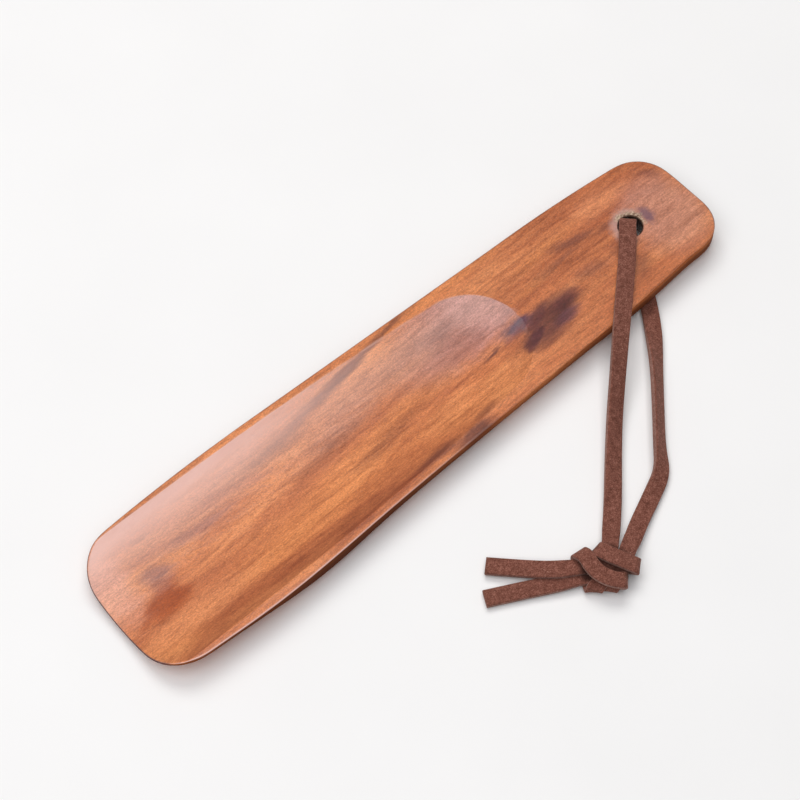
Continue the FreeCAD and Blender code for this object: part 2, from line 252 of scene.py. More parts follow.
def arc_points(start, end, radius):
    """Points along an outward arc from start to end, without the end."""
    start, end = np.array(start, float), np.array(end, float)
    chord = end - start
    length = np.linalg.norm(chord)
    count = max(2, round(length / OUTLINE_STEP))
    share = np.arange(count)[:, None] / count
    if radius is None:
        return start + chord * share
    outward = np.array([chord[1], -chord[0]]) / length
    centre = (start + end) / 2 - outward * math.sqrt(radius ** 2 - (length / 2) ** 2)
    first = math.atan2(*(start - centre)[::-1])
    turn = 2 * math.asin(length / 2 / radius)
    angles = first + turn * share
    return centre + radius * np.hstack((np.cos(angles), np.sin(angles)))


def wood_outline():
    """The closed outline, anticlockwise, with its slight kinks smoothed out."""
    near = [((x, -half), radius) for x, half, radius in OUTLINE_CORNERS]
    far = [(x, half) for x, half, _ in reversed(OUTLINE_CORNERS)]
    radii = [radius for _, radius in near[:-1]] + [END_EDGE_RADIUS]
    radii += [radius for _, _, radius in reversed(OUTLINE_CORNERS[:-1])] + [TIP_EDGE_RADIUS]
    corners = [point for point, _ in near] + far
    stretches = [arc_points(start, end, radius)
                 for start, end, radius in zip(corners, corners[1:] + corners[:1], radii)]
    outline = np.vstack(stretches)
    for _ in range(OUTLINE_SMOOTHINGS):
        outline = outline / 2 + (np.roll(outline, 1, 0) + np.roll(outline, -1, 0)) / 4
    outward = -inward_from(outline)
    for x, y, proud, reach in OUTLINE_SWELLS:
        apart = np.hypot(outline[:, 0] - x, outline[:, 1] - y) / reach
        outline = outline + outward * (proud * np.exp(-apart ** 2))[:, None]
    return outline


def inward_from(outline):
    """The unit direction into a closed anticlockwise outline, at each of its points."""
    along = np.roll(outline, -1, 0) - np.roll(outline, 1, 0)
    return np.stack((-along[:, 1], along[:, 0]), 1) / np.linalg.norm(along, axis=1)[:, None]


def natural_spline(knots_x, knots_y):
    """A function that gives the natural cubic spline through the knots."""
    knots_x, knots_y = np.array(knots_x, float), np.array(knots_y, float)
    gap = np.diff(knots_x)
    count = len(knots_x)
    system = np.eye(count)
    right = np.zeros(count)
    for index in range(1, count - 1):
        before, after = gap[index - 1], gap[index]
        system[index, index - 1:index + 2] = before, 2 * (before + after), after
        right[index] = 6 * ((knots_y[index + 1] - knots_y[index]) / after
                            - (knots_y[index] - knots_y[index - 1]) / before)
    bend = np.linalg.solve(system, right)

    def height(x):
        index = np.clip(np.searchsorted(knots_x, x) - 1, 0, count - 2)
        before, after, width = x - knots_x[index], knots_x[index + 1] - x, gap[index]
        return (bend[index] * after ** 3 + bend[index + 1] * before ** 3) / (6 * width) \
            + (knots_y[index] / width - bend[index] * width / 6) * after \
            + (knots_y[index + 1] / width - bend[index + 1] * width / 6) * before
    return height


STATION_X, STATION_KEEL, STATION_EDGE = zip(*BACK_STATIONS)
KEEL = natural_spline(STATION_X, STATION_KEEL)
EDGE = natural_spline(STATION_X, STATION_EDGE)


def under_z(x, y):
    """The arched back: a circle across, through the keel and the blank's edges."""
    rise = np.maximum(EDGE(x) - KEEL(x), 1e-3)
    arch = (BACK_HALF_WIDTH ** 2 + rise ** 2) / (2 * rise)
    return np.maximum(KEEL(x), LEAST_KEEL) + arch - np.sqrt(arch ** 2 - y ** 2)


def trough_z(x, y):
    """The scoop's surface: turned about an axis high above it, with a ball for its start."""
    reach = SCOOP_FLOOR_RADIUS - SCOOP_RADIUS
    drop = (SCOOP_START_X - SCOOP_DEEPEST_X) / reach
    touch_x = SCOOP_START_X + SCOOP_RADIUS * drop
    floor_rise = reach * math.sqrt(1 - drop ** 2)
    ball = np.sqrt(np.maximum(SCOOP_RADIUS ** 2 - (x - SCOOP_START_X) ** 2, 0))
    long_floor = np.sqrt(SCOOP_FLOOR_RADIUS ** 2 - (x - SCOOP_DEEPEST_X) ** 2) - floor_rise
    turned = np.where(x > touch_x, ball, long_floor)
    return SCOOP_AXIS_Z - np.sqrt(np.maximum(turned ** 2 - y ** 2, 0))


def top_z(x, y):
    """The top, which rolls down a little over the last of the tip."""
    roll = TIP_ROLL * np.maximum(TIP_ROLL_X - x, 0) ** 2
    return np.minimum(trough_z(x, y), FACE_Z) - roll


def crease_share(start, end):
    """How far along each ray the flat face gives way to the scoop, from 0 to 1."""
    low, high = np.zeros(len(start)), np.ones(len(start))
    for _ in range(30):
        middle = (low + high) / 2
        point = start + (end - start) * middle[:, None]
        flat = trough_z(*point.T) > FACE_Z
        low, high = np.where(flat, middle, low), np.where(flat, high, middle)
    return (low + high) / 2


def wood_rings():
    """The mesh's closed rings, from the spine of the top, over the edge, to the spine of the back."""
    outline = wood_outline()
    inward = inward_from(outline)
    spine_x = np.round(np.clip(outline[:, 0], *SPINE_ENDS) / SPINE_STEP) * SPINE_STEP
    spine = np.stack((spine_x, np.zeros(len(outline))), 1)
    wall = top_z(*outline.T) - under_z(*outline.T)
    top_round = np.minimum(TOP_ROUND, TOP_WALL_SHARE * wall)
    under_round = np.minimum(UNDER_ROUND, UNDER_WALL_SHARE * wall)
    rings = []

    def add(point, height):
        rings.append(np.column_stack((point, height)))

    shoulder = outline + inward * top_round[:, None]
    crease = crease_share(shoulder, spine)
    nudge = CREASE_ROUND / np.linalg.norm(spine - shoulder, axis=1)
    shares = [crease + (1 - crease) * step for step in 1 - np.linspace(0, 1, 27)[:-1] ** 1.15]
    shares += [np.minimum(crease + nudge, 1), crease, np.maximum(crease - nudge, 0)]
    shares += [np.maximum(crease - nudge, 0) * step for step in (0.86, 0.66, 0.45, 0.25, 0.1)]
    for share in shares:
        point = shoulder + (spine - shoulder) * share[:, None]
        add(point, top_z(*point.T))
    for angle in np.radians(np.linspace(90, 0, 7)):
        point = outline + inward * (top_round * (1 - math.cos(angle)))[:, None]
        add(point, top_z(*point.T) - top_round * (1 - math.sin(angle)))
    side_top, side_low = rings[-1][:, 2], under_z(*outline.T) + under_round
    for share in (0.33, 0.67):
        add(outline, side_top + (side_low - side_top) * share)
    for angle in np.radians(np.linspace(0, 90, 7)):
        point = outline + inward * (under_round * (1 - math.cos(angle)))[:, None]
        add(point, under_z(*point.T) + under_round * (1 - math.sin(angle)))
    heel = outline + inward * under_round[:, None]
    for share in np.linspace(0, 1, 19)[1:] ** 1.1:
        point = heel + (spine - heel) * share
        add(point, under_z(*point.T))
    return rings


def hole_cutter():
    """A turned plug with flared ends, slightly out of round as a hand-drilled hole is."""
    under = HANDLE_UNDER_Z
    flare = HOLE_RADIUS + HOLE_CHAMFER
    profile = ((flare + 1.0, under - 1.0), (flare, under), (HOLE_RADIUS + 0.05, under + 0.2),
               (HOLE_RADIUS, under + 0.8), (HOLE_RADIUS, FACE_Z - 0.8), (HOLE_RADIUS + 0.05, FACE_Z - 0.2),
               (flare, FACE_Z), (flare + 1.0, FACE_Z + 1.0))
    steps = 96
    mesh = bmesh.new()
    rings = []
    for radius, height in profile:
        ring = []
        for step in range(steps):
            angle = 2 * math.pi * step / steps
            wobble = 1 + 0.010 * math.sin(3 * angle + 1) + 0.006 * math.sin(7 * angle + height)
            point = Vector((HOLE_X + math.cos(angle) * radius * wobble,
                            math.sin(angle) * radius * wobble, height))
            ring.append(mesh.verts.new(point * MM))
        rings.append(ring)
    join_rings(mesh, rings)
    mesh.faces.new(list(reversed(rings[0])))
    mesh.faces.new(rings[-1])
    return mesh_object("hole_cutter", mesh)


def join_rings(mesh, rings):
    """Quads between closed rings of equal counts."""
    for ring, following in zip(rings, rings[1:]):
        for index in range(len(ring)):
            after = (index + 1) % len(ring)
            mesh.faces.new((ring[index], ring[after], following[after], following[index]))


def mesh_object(name, mesh):
    """An object in the scene made of a bmesh, which is freed."""
    data = bpy.data.meshes.new(name)
    mesh.to_mesh(data)
    mesh.free()
    item = bpy.data.objects.new(name, data)
    bpy.context.scene.collection.objects.link(item)
    return item


def wood():
    """The carved wood, drilled for the lace, with bare wood on its sides."""
    mesh = bmesh.new()
    join_rings(mesh, [[mesh.verts.new(Vector(point) * MM) for point in ring] for ring in wood_rings()])
    bmesh.ops.remove_doubles(mesh, verts=mesh.verts, dist=2e-6)
    bmesh.ops.dissolve_degenerate(mesh, edges=mesh.edges, dist=1e-6)
    bmesh.ops.recalc_face_normals(mesh, faces=mesh.faces)
    blank = mesh_object("wood_blank", mesh)
    cutter = hole_cutter()
    drill = blank.modifiers.new("hang_hole", "BOOLEAN")
    drill.operation = "DIFFERENCE"
    drill.solver = "EXACT"
    drill.object = cutter
    evaluated = blank.evaluated_get(bpy.context.evaluated_depsgraph_get())
    data = bpy.data.meshes.new_from_object(evaluated)
    bpy.data.objects.remove(blank)
    bpy.data.objects.remove(cutter)
    data.name = "carved_wood"
    data.shade_smooth()
    data.set_sharp_from_angle(angle=SHARP_ANGLE)
    data.materials.clear()
    data.materials.append(wood_finish("lacquered_wood"))
    data.materials.append(wood_finish("bare_side_wood", bare=True))
    lowest, highest = SIDE_NORMALS
    for face in data.polygons:
        from_hole = math.hypot(face.center.x / MM - HOLE_X, face.center.y / MM)
        off_hole = from_hole > HOLE_RADIUS + HOLE_WALL
        face.material_index = 1 if lowest < face.normal.z < highest and off_hole else 0
    item = bpy.data.objects.new("carved_wood", data)
    bpy.context.scene.collection.objects.link(item)
    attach(item, "shoehorn")
    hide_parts("shoehorn_blade")


# ---------------------------------------------------------------- the wood's figure, with painted sheen, haze and shade

PURPLE = (0.105, 0.021, 0.024)
UMBER = (0.17, 0.045, 0.026)
RUST = (0.36, 0.080, 0.022)
CHESTNUT = (0.38, 0.066, 0.004)
ROSE = (0.34, 0.115, 0.080)
SHEEN_BLUSH = (0.74, 0.335, 0.235)
HAZE_LILAC = (0.54, 0.268, 0.250)
VIOLET = (0.085, 0.035, 0.075)
HAZE_MAUVE = (0.36, 0.175, 0.150)
AMBER = (0.72, 0.245, 0.070)
GOLD = (0.88, 0.340, 0.150)
HAZE_DUSTY = (0.60, 0.320, 0.250)
# the figure: x, y, half length, half width, turn in degrees, strength, tone, and how far out it
# stays full, as a share of its half sizes. Cycles has room for few more in one material: with four
# more it still renders, and with eight more the wood comes out black.
MARK_FADE = 1.2  # where a mark ends, as a share of its half sizes
# the blush at the tip, the dusty patch at the handle's end and the mauve patches in the scoop are painted
# sheen and haze
MARKS = (
    (64.0, 0.0, 42.0, 30.0, 0, 0.34, RUST, 0.5), (-40.0, -8.0, 42.0, 8.0, 2, 0.50, AMBER, 0.1),
    (-86.0, -10.0, 16.0, 8.0, 0, 0.40, AMBER, 0.2), (20.0, 19.0, 30.0, 2.2, 0, 0.50, AMBER, 0.2),
    (12.0, 7.0, 17.0, 8.5, 8, 0.44, HAZE_MAUVE, 0.3), (20.0, 4.0, 9.0, 7.0, 8, 0.26, RUST, 0.2),
    (-14.0, 8.5, 30.0, 6.0, 8, 0.40, HAZE_MAUVE, 0.2), (-56.0, 12.0, 40.0, 5.0, 2, 0.28, HAZE_MAUVE, 0.3),
    (-50.0, 18.0, 40.0, 2.6, 2, 0.45, AMBER, 0.3), (-93.5, 9.0, 7.0, 13.0, 0, 0.56, SHEEN_BLUSH, 0.3),
    (-80.0, -11.0, 20.0, 5.0, 0, 0.42, GOLD, 0.3), (76.0, 11.5, 12.0, 4.0, 0, 0.40, GOLD, 0.3),
    (88.0, -2.5, 13.0, 14.0, 0, 0.46, HAZE_DUSTY, 0.5), (-10.0, -2.0, 28.0, 3.4, 3, 0.42, AMBER, 0.1),
    (52.0, 9.5, 13.0, 2.0, 4, 0.45, AMBER, 0.1), (46.0, 3.5, 9.0, 1.8, 6, 0.50, AMBER, 0.1),
    (41.6, -7.4, 11.0, 5.5, 12, 0.76, UMBER, 0.45), (49.3, -5.8, 6.0, 3.2, -4, 0.70, PURPLE, 0.3),
    (46.6, -9.3, 6.2, 2.0, 6, 0.60, VIOLET, 0.3), (34.6, -9.2, 4.6, 2.0, 28, 0.90, PURPLE, 0.5),
    (39.6, -4.2, 5.6, 2.2, 22, 0.72, PURPLE, 0.4), (42.4, -7.8, 13.0, 6.0, 12, 0.46, PURPLE, 0.35),
    (33.6, -2.9, 5.4, 2.6, 4, 0.92, VIOLET, 0.40), (30.5, -5.8, 6.0, 2.8, 24, 0.50, RUST, 0.1),
    (60.0, -3.2, 6.5, 2.4, -8, 0.50, PURPLE, 0.1), (56.8, 4.4, 6.5, 1.2, 4, 0.50, UMBER, 0.2),
    (62.3, 6.9, 8.0, 2.1, -12, 0.72, UMBER, 0.25), (72.5, 4.3, 5.0, 1.0, 2, 0.60, UMBER, 0.2),
    (50.0, 4.2, 6.0, 2.0, 5, 0.46, UMBER, 0.1), (69.6, -3.0, 4.4, 3.0, 0, 0.50, UMBER, 0.1),
    (72.4, -10.9, 6.0, 3.2, 35, 0.45, UMBER, 0.1), (93.0, 9.5, 4.5, 2.4, -50, 0.42, PURPLE, 0.1),
    (7.0, 19.4, 7.5, 0.9, 8, 0.62, UMBER, 0.2), (-1.0, 17.6, 7.0, 1.1, 8, 0.78, UMBER, 0.3),
    (-9.0, 16.5, 8.0, 1.5, 8, 0.86, UMBER, 0.3), (-17.0, 15.4, 8.5, 1.7, 8, 0.76, UMBER, 0.25),
    (-26.0, 14.3, 9.5, 2.0, 6, 0.62, UMBER, 0.15), (-38.0, 12.8, 13.0, 2.4, 3, 0.50, UMBER, 0.1),
    (10.6, -16.6, 6.5, 1.5, 6, 0.52, UMBER, 0.1), (3.5, -19.5, 8.8, 2.1, 2, 0.87, UMBER, 0.36),
    (-8.0, -17.8, 10.0, 1.6, 3, 0.80, UMBER, 0.25), (-20.0, -18.9, 10.0, 1.5, 5, 0.66, RUST, 0.2),
    (-36.0, -19.6, 12.0, 1.9, 2, 0.58, RUST, 0.2), (-58.0, -17.6, 12.0, 1.7, -2, 0.66, RUST, 0.2),
    (-76.0, -15.5, 13.0, 2.2, -4, 0.50, RUST, 0.2), (24.9, -4.0, 2.8, 0.7, 8, 0.80, UMBER, 0.4),
    (22.5, -4.2, 4.0, 0.8, 4, 0.60, UMBER, 0.2), (-15.0, -5.0, 13.0, 2.6, 6, 0.32, UMBER, 0.1),
    (-24.0, 3.6, 15.0, 2.6, 5, 0.34, UMBER, 0.1), (17.0, 9.0, 7.0, 3.6, 15, 0.30, UMBER, 0.2),
    (-84.4, -2.2, 7.6, 5.0, 20, 0.90, CHESTNUT, 0.35), (-81.4, -2.9, 4.6, 2.6, 6, 0.60, CHESTNUT, 0.2),
    (-88.5, -1.8, 4.6, 1.8, 12, 0.50, CHESTNUT, 0.2), (-92.0, -4.0, 3.6, 1.3, 10, 0.60, CHESTNUT, 0.2),
    (-81.8, 4.9, 5.2, 3.2, -8, 0.78, ROSE, 0.30), (-83.5, 2.0, 5.0, 3.0, 0, 0.40, ROSE, 0.2),
    (-66.0, 7.4, 14.0, 1.5, -4, 0.60, ROSE, 0.1), (-79.5, 14.6, 5.0, 0.7, -5, 0.44, UMBER, 0.2),
)


def figure(graph, colour):
    """The marks, each an ellipse with soft ragged ends."""
    place = graph.stretch((1, 1, 1))
    drift = graph.node("TexNoise", {"Vector": graph.stretch((0.07, 0.35, 0.35)), "Scale": 1.0,
                                    "Detail": 4.0, "Roughness": 0.6})
    drift_out = graph.node("VectorMath", operation="SUBTRACT")
    graph.feed(drift_out.inputs[0], drift.outputs["Color"])
    drift_out.inputs[1].default_value = (0.5, 0.5, 0.5)
    ragged = graph.node("VectorMath", operation="MULTIPLY_ADD")
    graph.feed(ragged.inputs[0], drift_out.outputs[0])
    ragged.inputs[1].default_value = (9.0, 3.6, 0.0)
    graph.feed(ragged.inputs[2], place)
    for x, y, half_length, half_width, turn, strength, tone, full in MARKS:
        local = graph.node("Mapping", {"Vector": ragged.outputs[0], "Location": (x, y, 0),
                                       "Rotation": (0, 0, math.radians(turn)),
                                       "Scale": (half_length, half_width, 1e4)}, vector_type="TEXTURE")
        length = graph.node("VectorMath", {"Vector": local.outputs[0]}, operation="LENGTH")
        amount = graph.math("MULTIPLY", graph.span(length.outputs["Value"], MARK_FADE, full), strength)
        colour = graph.mix(amount, colour, tone)
    return colour


def wood_finish(name, bare=False):
    """The wood: lacquered on its faces and bare on its sides, with painted haze, highlights and shade in
    its colour.
    """
    graph = Graph(name)
    x, y, z = graph.axes()
    broad = graph.noise((0.016, 0.11, 0.11), 5, 0.6, 0.6)
    colour = graph.ramp(broad, ((0.30, (0.46, 0.122, 0.042)), (0.48, (0.65, 0.205, 0.068)),
                                (0.66, (0.82, 0.300, 0.106))))
    wander = graph.math("MULTIPLY", graph.noise((0.20, 0.35, 0.35), 4, 0.65, shift=(7, 1, 4)), 7.0)
    # painted haze: a lilac veil of reflected light over the far half of the scoop, from its start towards
    # the tip
    pale = graph.math("MULTIPLY", graph.span(past_rim(graph, x, y), 0.15, -0.35),
                      graph.span(graph.math("ADD", y, wander), -1.5, 6.0))
    pale = graph.math("MULTIPLY", pale, graph.span(graph.math("ADD", x, wander), 2.0, 30.0))
    colour = graph.mix(graph.math("MULTIPLY", pale, 0.72), colour, HAZE_LILAC)
    colour = figure(graph, colour)
    streak = graph.noise((0.045, 0.50, 0.50), 5, 0.66, 0.8, shift=(2, 8, 1))
    calm = graph.math("ADD", graph.math("MULTIPLY", graph.span(x, -95.0, -30.0), 0.5), 0.5)
    streaks = graph.ramp(streak, ((0.32, (0.74, 0.67, 0.62)), (0.50, (1.0, 1.0, 1.0)),
                                  (0.68, (1.13, 1.16, 1.18))))
    colour = graph.mix(calm, colour, streaks, "MULTIPLY")
    fibre = graph.noise((0.22, 1.3, 1.3), 5, 0.7, 0.5, shift=(5, 3, 0))
    fibres = graph.ramp(fibre, ((0.32, (0.76, 0.70, 0.66)), (0.50, (1.0, 1.0, 1.0)),
                                (0.70, (1.14, 1.18, 1.22))))
    colour = graph.mix(1.0, colour, fibres, "MULTIPLY")
    pore = graph.span(graph.noise((0.8, 3.0, 3.0), 2, 0.5, shift=(11, 2, 0)), 0.58, 0.70)
    colour = graph.mix(graph.math("MULTIPLY", pore, 0.30), colour, (0.17, 0.050, 0.024))
    speck = graph.noise((2.0, 2.6, 2.6), 3, 0.75)
    specks = graph.ramp(speck, ((0.30, (0.68, 0.65, 0.63)), (0.70, (1.30, 1.33, 1.36))))
    colour = graph.mix(1.0, colour, specks, "MULTIPLY")
    colour = side_and_hole(graph, colour, x, y, z)
    relief = graph.math("ADD", graph.math("MULTIPLY", fibre, 0.5), graph.math("MULTIPLY", pore, -0.6))
    bump = graph.node("Bump", {"Height": relief, "Strength": 0.35, "Distance": 0.00008})
    if bare:
        shader = graph.node("BsdfPrincipled", {"Base Color": colour, "Roughness": 0.8,
                                               "Specular IOR Level": 0.05, "Normal": bump.outputs[0]})
        return graph.finish(shader)
    wave = graph.noise((0.10, 0.30, 0.30), 2, 0.5, shift=(3, 9, 4))
    gloss = graph.math("ADD", wave, graph.math("MULTIPLY", graph.noise((1.0, 1.6, 1.6), 3, 0.65), 0.16))
    coat = graph.node("Bump", {"Height": gloss, "Strength": 0.28, "Distance": 0.0006})
    rough = graph.math("ADD", graph.math("MULTIPLY", fibre, 0.22), 0.36)
    shader = graph.node("BsdfPrincipled", {"Base Color": colour, "Roughness": rough,
                                           "Specular IOR Level": 0.3, "Coat Weight": 1.0,
                                           "Coat Roughness": 0.28, "Coat IOR": 1.75,
                                           "Normal": bump.outputs[0], "Coat Normal": coat.outputs[0]})
    return graph.finish(shader)


def past_rim(graph, x, y):
    """How far a place is outside the scoop's rim, in millimetres; less than 0 in the scoop."""
    past = graph.math("MAXIMUM", graph.math("SUBTRACT", x, SCOOP_START_X), 0.0)
    along = graph.math("SUBTRACT", graph.math("MINIMUM", x, SCOOP_START_X), SCOOP_DEEPEST_X)
    deepest = SCOOP_RADIUS + (SCOOP_START_X - SCOOP_DEEPEST_X) ** 2 / (2 * SCOOP_FLOOR_RADIUS)
    turned = graph.math("SUBTRACT", deepest, graph.math("DIVIDE", graph.math("MULTIPLY", along, along),
                                                        2 * SCOOP_FLOOR_RADIUS))
    squares = graph.math("SUBTRACT", graph.math("MULTIPLY", turned, turned), (SCOOP_AXIS_Z - FACE_Z) ** 2)
    squares = graph.math("SUBTRACT", squares, graph.math("MULTIPLY", past, past))
    return graph.math("SUBTRACT", graph.math("SQRT", graph.math("ADD", graph.math("MULTIPLY", y, y),
                                                               graph.math("MULTIPLY", past, past))),
                      graph.math("SQRT", graph.math("ADD", squares, graph.math("MULTIPLY", past, past))))


def side_and_hole(graph, colour, x, y, z):
    """The scoop's crease with a painted highlight and some wear, darker flanks with painted shade (partly
    dark wood), a painted highlight on the near lip, painted shade on edges that turn away, the hole's raw
    rim with a painted sheen round it, and painted shade in the bore.
    """
    # painted highlight along the far side of the scoop's crease, mottled, partly rubbed lacquer
    crease_highlight_and_wear = graph.math("MULTIPLY", graph.span(graph.math("ABSOLUTE", past_rim(graph, x, y)), 0.55, 0.10),
                      graph.math("MULTIPLY", graph.span(y, 4.0, 12.0), graph.span(x, 30.0, 14.0)))
    patches = graph.noise((0.15, 0.5, 0.5), 2, 0.5, shift=(1, 5, 2))
    crease_highlight_and_wear = graph.math("MULTIPLY", crease_highlight_and_wear, graph.span(patches, 0.30, 0.62))
    colour = graph.mix(graph.math("MULTIPLY", crease_highlight_and_wear, 0.34), colour, (0.80, 0.44, 0.34))
    normal = graph.node("TexCoord").outputs["Normal"]
    facing = graph.node("SeparateXYZ", {"Vector": normal}).outputs
    # painted shade on the near flank under the blade's belly, partly dark wood there
    near = graph.span(graph.math("MULTIPLY", facing[1], -1.0), 0.45, 0.80)
    belly_shade_and_dark_wood = graph.span(graph.math("ABSOLUTE", graph.math("ADD", x, 48.0)), 70.0, 24.0)
    colour = graph.mix(graph.math("MULTIPLY", near, graph.math("MULTIPLY", belly_shade_and_dark_wood, 0.95)), colour,
                       (0.016, 0.005, 0.004))
    level = graph.math("ABSOLUTE", facing[2])
    upright = graph.span(level, 0.86, 0.45)
    colour = graph.mix(graph.math("MULTIPLY", upright, 0.45), colour, (0.30, 0.076, 0.020))
    # painted shade: the flanks darker towards their bottom
    low = graph.math("MULTIPLY", upright, graph.span(z, 7.4, 4.6))
    colour = graph.mix(graph.math("MULTIPLY", low, 0.74), colour, (0.085, 0.022, 0.009))
    # painted highlight: a pale pink line on the near lip's sloping faces, reflecting the overhead light
    slope = graph.math("MULTIPLY", graph.span(level, 0.99, 0.90), graph.span(level, 0.60, 0.75))
    near_lip_highlight = graph.math("MULTIPLY", slope,
                     graph.math("MULTIPLY", graph.span(facing[1], -0.10, -0.25),
                                graph.span(facing[2], 0.0, 0.5)))
    colour = graph.mix(graph.math("MULTIPLY", near_lip_highlight, graph.span(x, 20.0, -50.0)), colour, (0.88, 0.52, 0.44))
    # painted shade on the far edge's rounding, which turns away from the light
    far = graph.math("MULTIPLY", graph.span(level, 0.995, 0.82), graph.span(facing[1], 0.04, 0.20))
    colour = graph.mix(graph.math("MULTIPLY", far, 0.72), colour, (0.13, 0.030, 0.012))
    # painted shade: a dark purplish-grey line on the rounding of the tip and the handle's end
    ends = graph.span(graph.math("ABSOLUTE", x), 94.5, 96.5)
    rim = graph.span(level, 0.99, 0.80)
    colour = graph.mix(graph.math("MULTIPLY", graph.math("MULTIPLY", rim, ends), 0.80), colour,
                       (0.10, 0.050, 0.062))
    side_x = graph.math("SUBTRACT", x, HOLE_X)
    distance = graph.math("SQRT", graph.math("ADD", graph.math("MULTIPLY", side_x, side_x),
                                             graph.math("MULTIPLY", y, y)))
    wander = graph.noise((0.55, 0.55, 0.55), 5, 0.75)
    ragged = graph.math("ADD", distance, graph.math("MULTIPLY", wander, 4.2))
    # painted sheen: a pale veil of reflected light in the lacquer round the hole's top and left
    hole_sheen = graph.math("MULTIPLY", graph.span(ragged, 9.0, 6.0),
                      graph.span(graph.math("SUBTRACT", y, side_x), -5.5, 2.0))
    colour = graph.mix(graph.math("MULTIPLY", hole_sheen, 0.62), colour, (0.56, 0.37, 0.34))
    stain_x, stain_y = graph.math("SUBTRACT", x, 83.7), graph.math("SUBTRACT", y, -0.2)
    square_x = graph.math("MULTIPLY", stain_x, stain_x)
    square_y = graph.math("MULTIPLY", stain_y, stain_y)
    stain = graph.math("SQRT", graph.math("ADD", square_x, graph.math("MULTIPLY", square_y, 0.4)))
    stain = graph.span(graph.math("ADD", stain, graph.math("MULTIPLY", wander, 3.4)), 4.4, 2.4)
    colour = graph.mix(graph.math("MULTIPLY", stain, 0.80), colour, (0.155, 0.075, 0.110))
    grain = graph.ramp(graph.noise((1.6, 1.6, 1.6), 3, 0.7),
                       ((0.38, (0.16, 0.075, 0.040)), (0.6, (0.66, 0.48, 0.34))))
    torn = graph.math("MULTIPLY", graph.span(ragged, 7.2, 6.0),
                      graph.span(graph.math("ADD", side_x, y), 0.5, 3.0))
    colour = graph.mix(torn, colour, grain)
    brink = graph.span(distance, HOLE_RADIUS + 0.50, HOLE_RADIUS + 0.20)
    colour = graph.mix(graph.math("MULTIPLY", brink, 0.70), colour, (0.10, 0.045, 0.028))
    # painted shade inside the hole's bore
    inside = graph.math("MULTIPLY", graph.span(distance, HOLE_RADIUS + 0.35, HOLE_RADIUS + 0.15),
                        graph.span(z, FACE_Z + 0.2, FACE_Z - 1.0))
    return graph.mix(inside, colour, (0.030, 0.014, 0.008))


# ---------------------------------------------------------------- the lace's routes

# the strands' points, in millimetres, from the middle of the hole to the knot: near the CAD part's,
# and moved to clear the wood where the ribbon is tilted
FRONT_STRAND = (
    (78.48, 1.38, 5.05), (78.38, 1.50, 8.50), (77.15, 0.66, 9.25), (72.20, -4.80, 8.90),
    (63.60, -12.80, 9.00), (52.30, -23.10, 9.60), (44.00, -31.00, 6.00), (36.00, -38.60, 3.00),
    (27.60, -47.20, 2.10), (19.40, -55.80, 2.00),
)
BACK_STRAND = (
    (77.30, -1.03, 5.05), (77.30, -1.03, 0.95), (74.90, -5.98, 0.95), (70.20, -14.70, 1.00),
    (64.20, -23.90, 1.20), (56.40, -33.20, 2.60), (47.00, -43.80, 2.60), (39.80, -51.80, 2.50),
    (35.40, -57.60, 2.10), (29.40, -60.40, 1.50), (20.50, -64.30, 1.30),
)
# how far each point's ribbon is rolled about its length, in degrees, the edge on the left going up
FRONT_ROLL = (0, 0, 0, 0, 4, 22, 34, 34, 26, 10)
BACK_ROLL = (0, 0, 0, 0, 5, 50, 56, 54, 34, 16, 0)
LOWER_TAIL = ((-6.90, -62.60, 1.20), (-15.00, -58.10, 0.90), (-23.20, -53.90, 0.95))
UPPER_TAIL = ((-4.40, -60.60, 2.60), (-11.00, -54.00, 2.00), (-17.00, -47.30, 1.20))

# the overhand knot, in the knot's own frame: along its long side, across it and up. The last number
# says which face is up: 1 and -1 are the two faces, and 0 is a fold from one to the other.
KNOT_CENTRE = Vector((5.0, -68.6, 0))
KNOT_TURN = math.radians(-41)
FRONT_KNOT = (
    (1.6, 9.6, 2.0, 1), (1.1, 5.8, 3.1, 1), (0.4, 1.8, 4.1, 1), (-0.7, -1.6, 3.8, 1), (-2.0, -3.9, 3.2, 1),
    (-3.0, -5.0, 2.4, 0), (-3.5, -4.9, 0.7, 0),
    (-4.0, -2.6, 0.7, -1), (-4.7, 0.4, 0.7, -1), (-5.6, 2.8, 0.8, -1),
    (-6.9, 4.1, 1.3, 0), (-7.0, 4.2, 4.1, 0),
    (-5.2, 2.9, 5.0, 1), (-3.9, -0.1, 5.5, 1), (-1.9, -2.4, 5.6, 1), (0.9, -3.7, 5.4, 1),
    (3.1, -3.9, 4.9, 1), (4.7, -3.5, 4.2, 0), (4.7, -3.2, 2.5, 0),
    (2.2, -2.5, 2.1, -1), (-1.6, -1.9, 2.1, -1), (-5.0, -1.3, 2.0, -1),
)
BACK_KNOT = (
    (7.4, 9.4, 2.0, 1), (5.7, 5.6, 3.1, 1), (4.5, 1.8, 4.2, 1), (3.2, -1.4, 3.8, 1), (1.9, -3.6, 3.3, 1),
    (1.0, -4.8, 2.6, 0), (0.6, -4.8, 0.7, 0),
    (0.5, -1.8, 0.7, -1), (0.1, 1.6, 0.7, -1), (-0.8, 3.9, 0.8, -1),
    (-2.3, 5.1, 1.3, 0), (-2.5, 5.2, 4.4, 0),
    (-0.9, 3.9, 5.4, 1), (1.4, 2.5, 5.9, 1), (4.2, 1.3, 5.8, 1), (6.3, 0.6, 5.1, 1),
    (7.9, 0.3, 4.4, 0), (7.9, 0.7, 3.0, 0),
    (4.6, 1.2, 3.0, -1), (1.0, 1.2, 3.0, -1), (-3.5, 1.1, 3.1, -1),
)

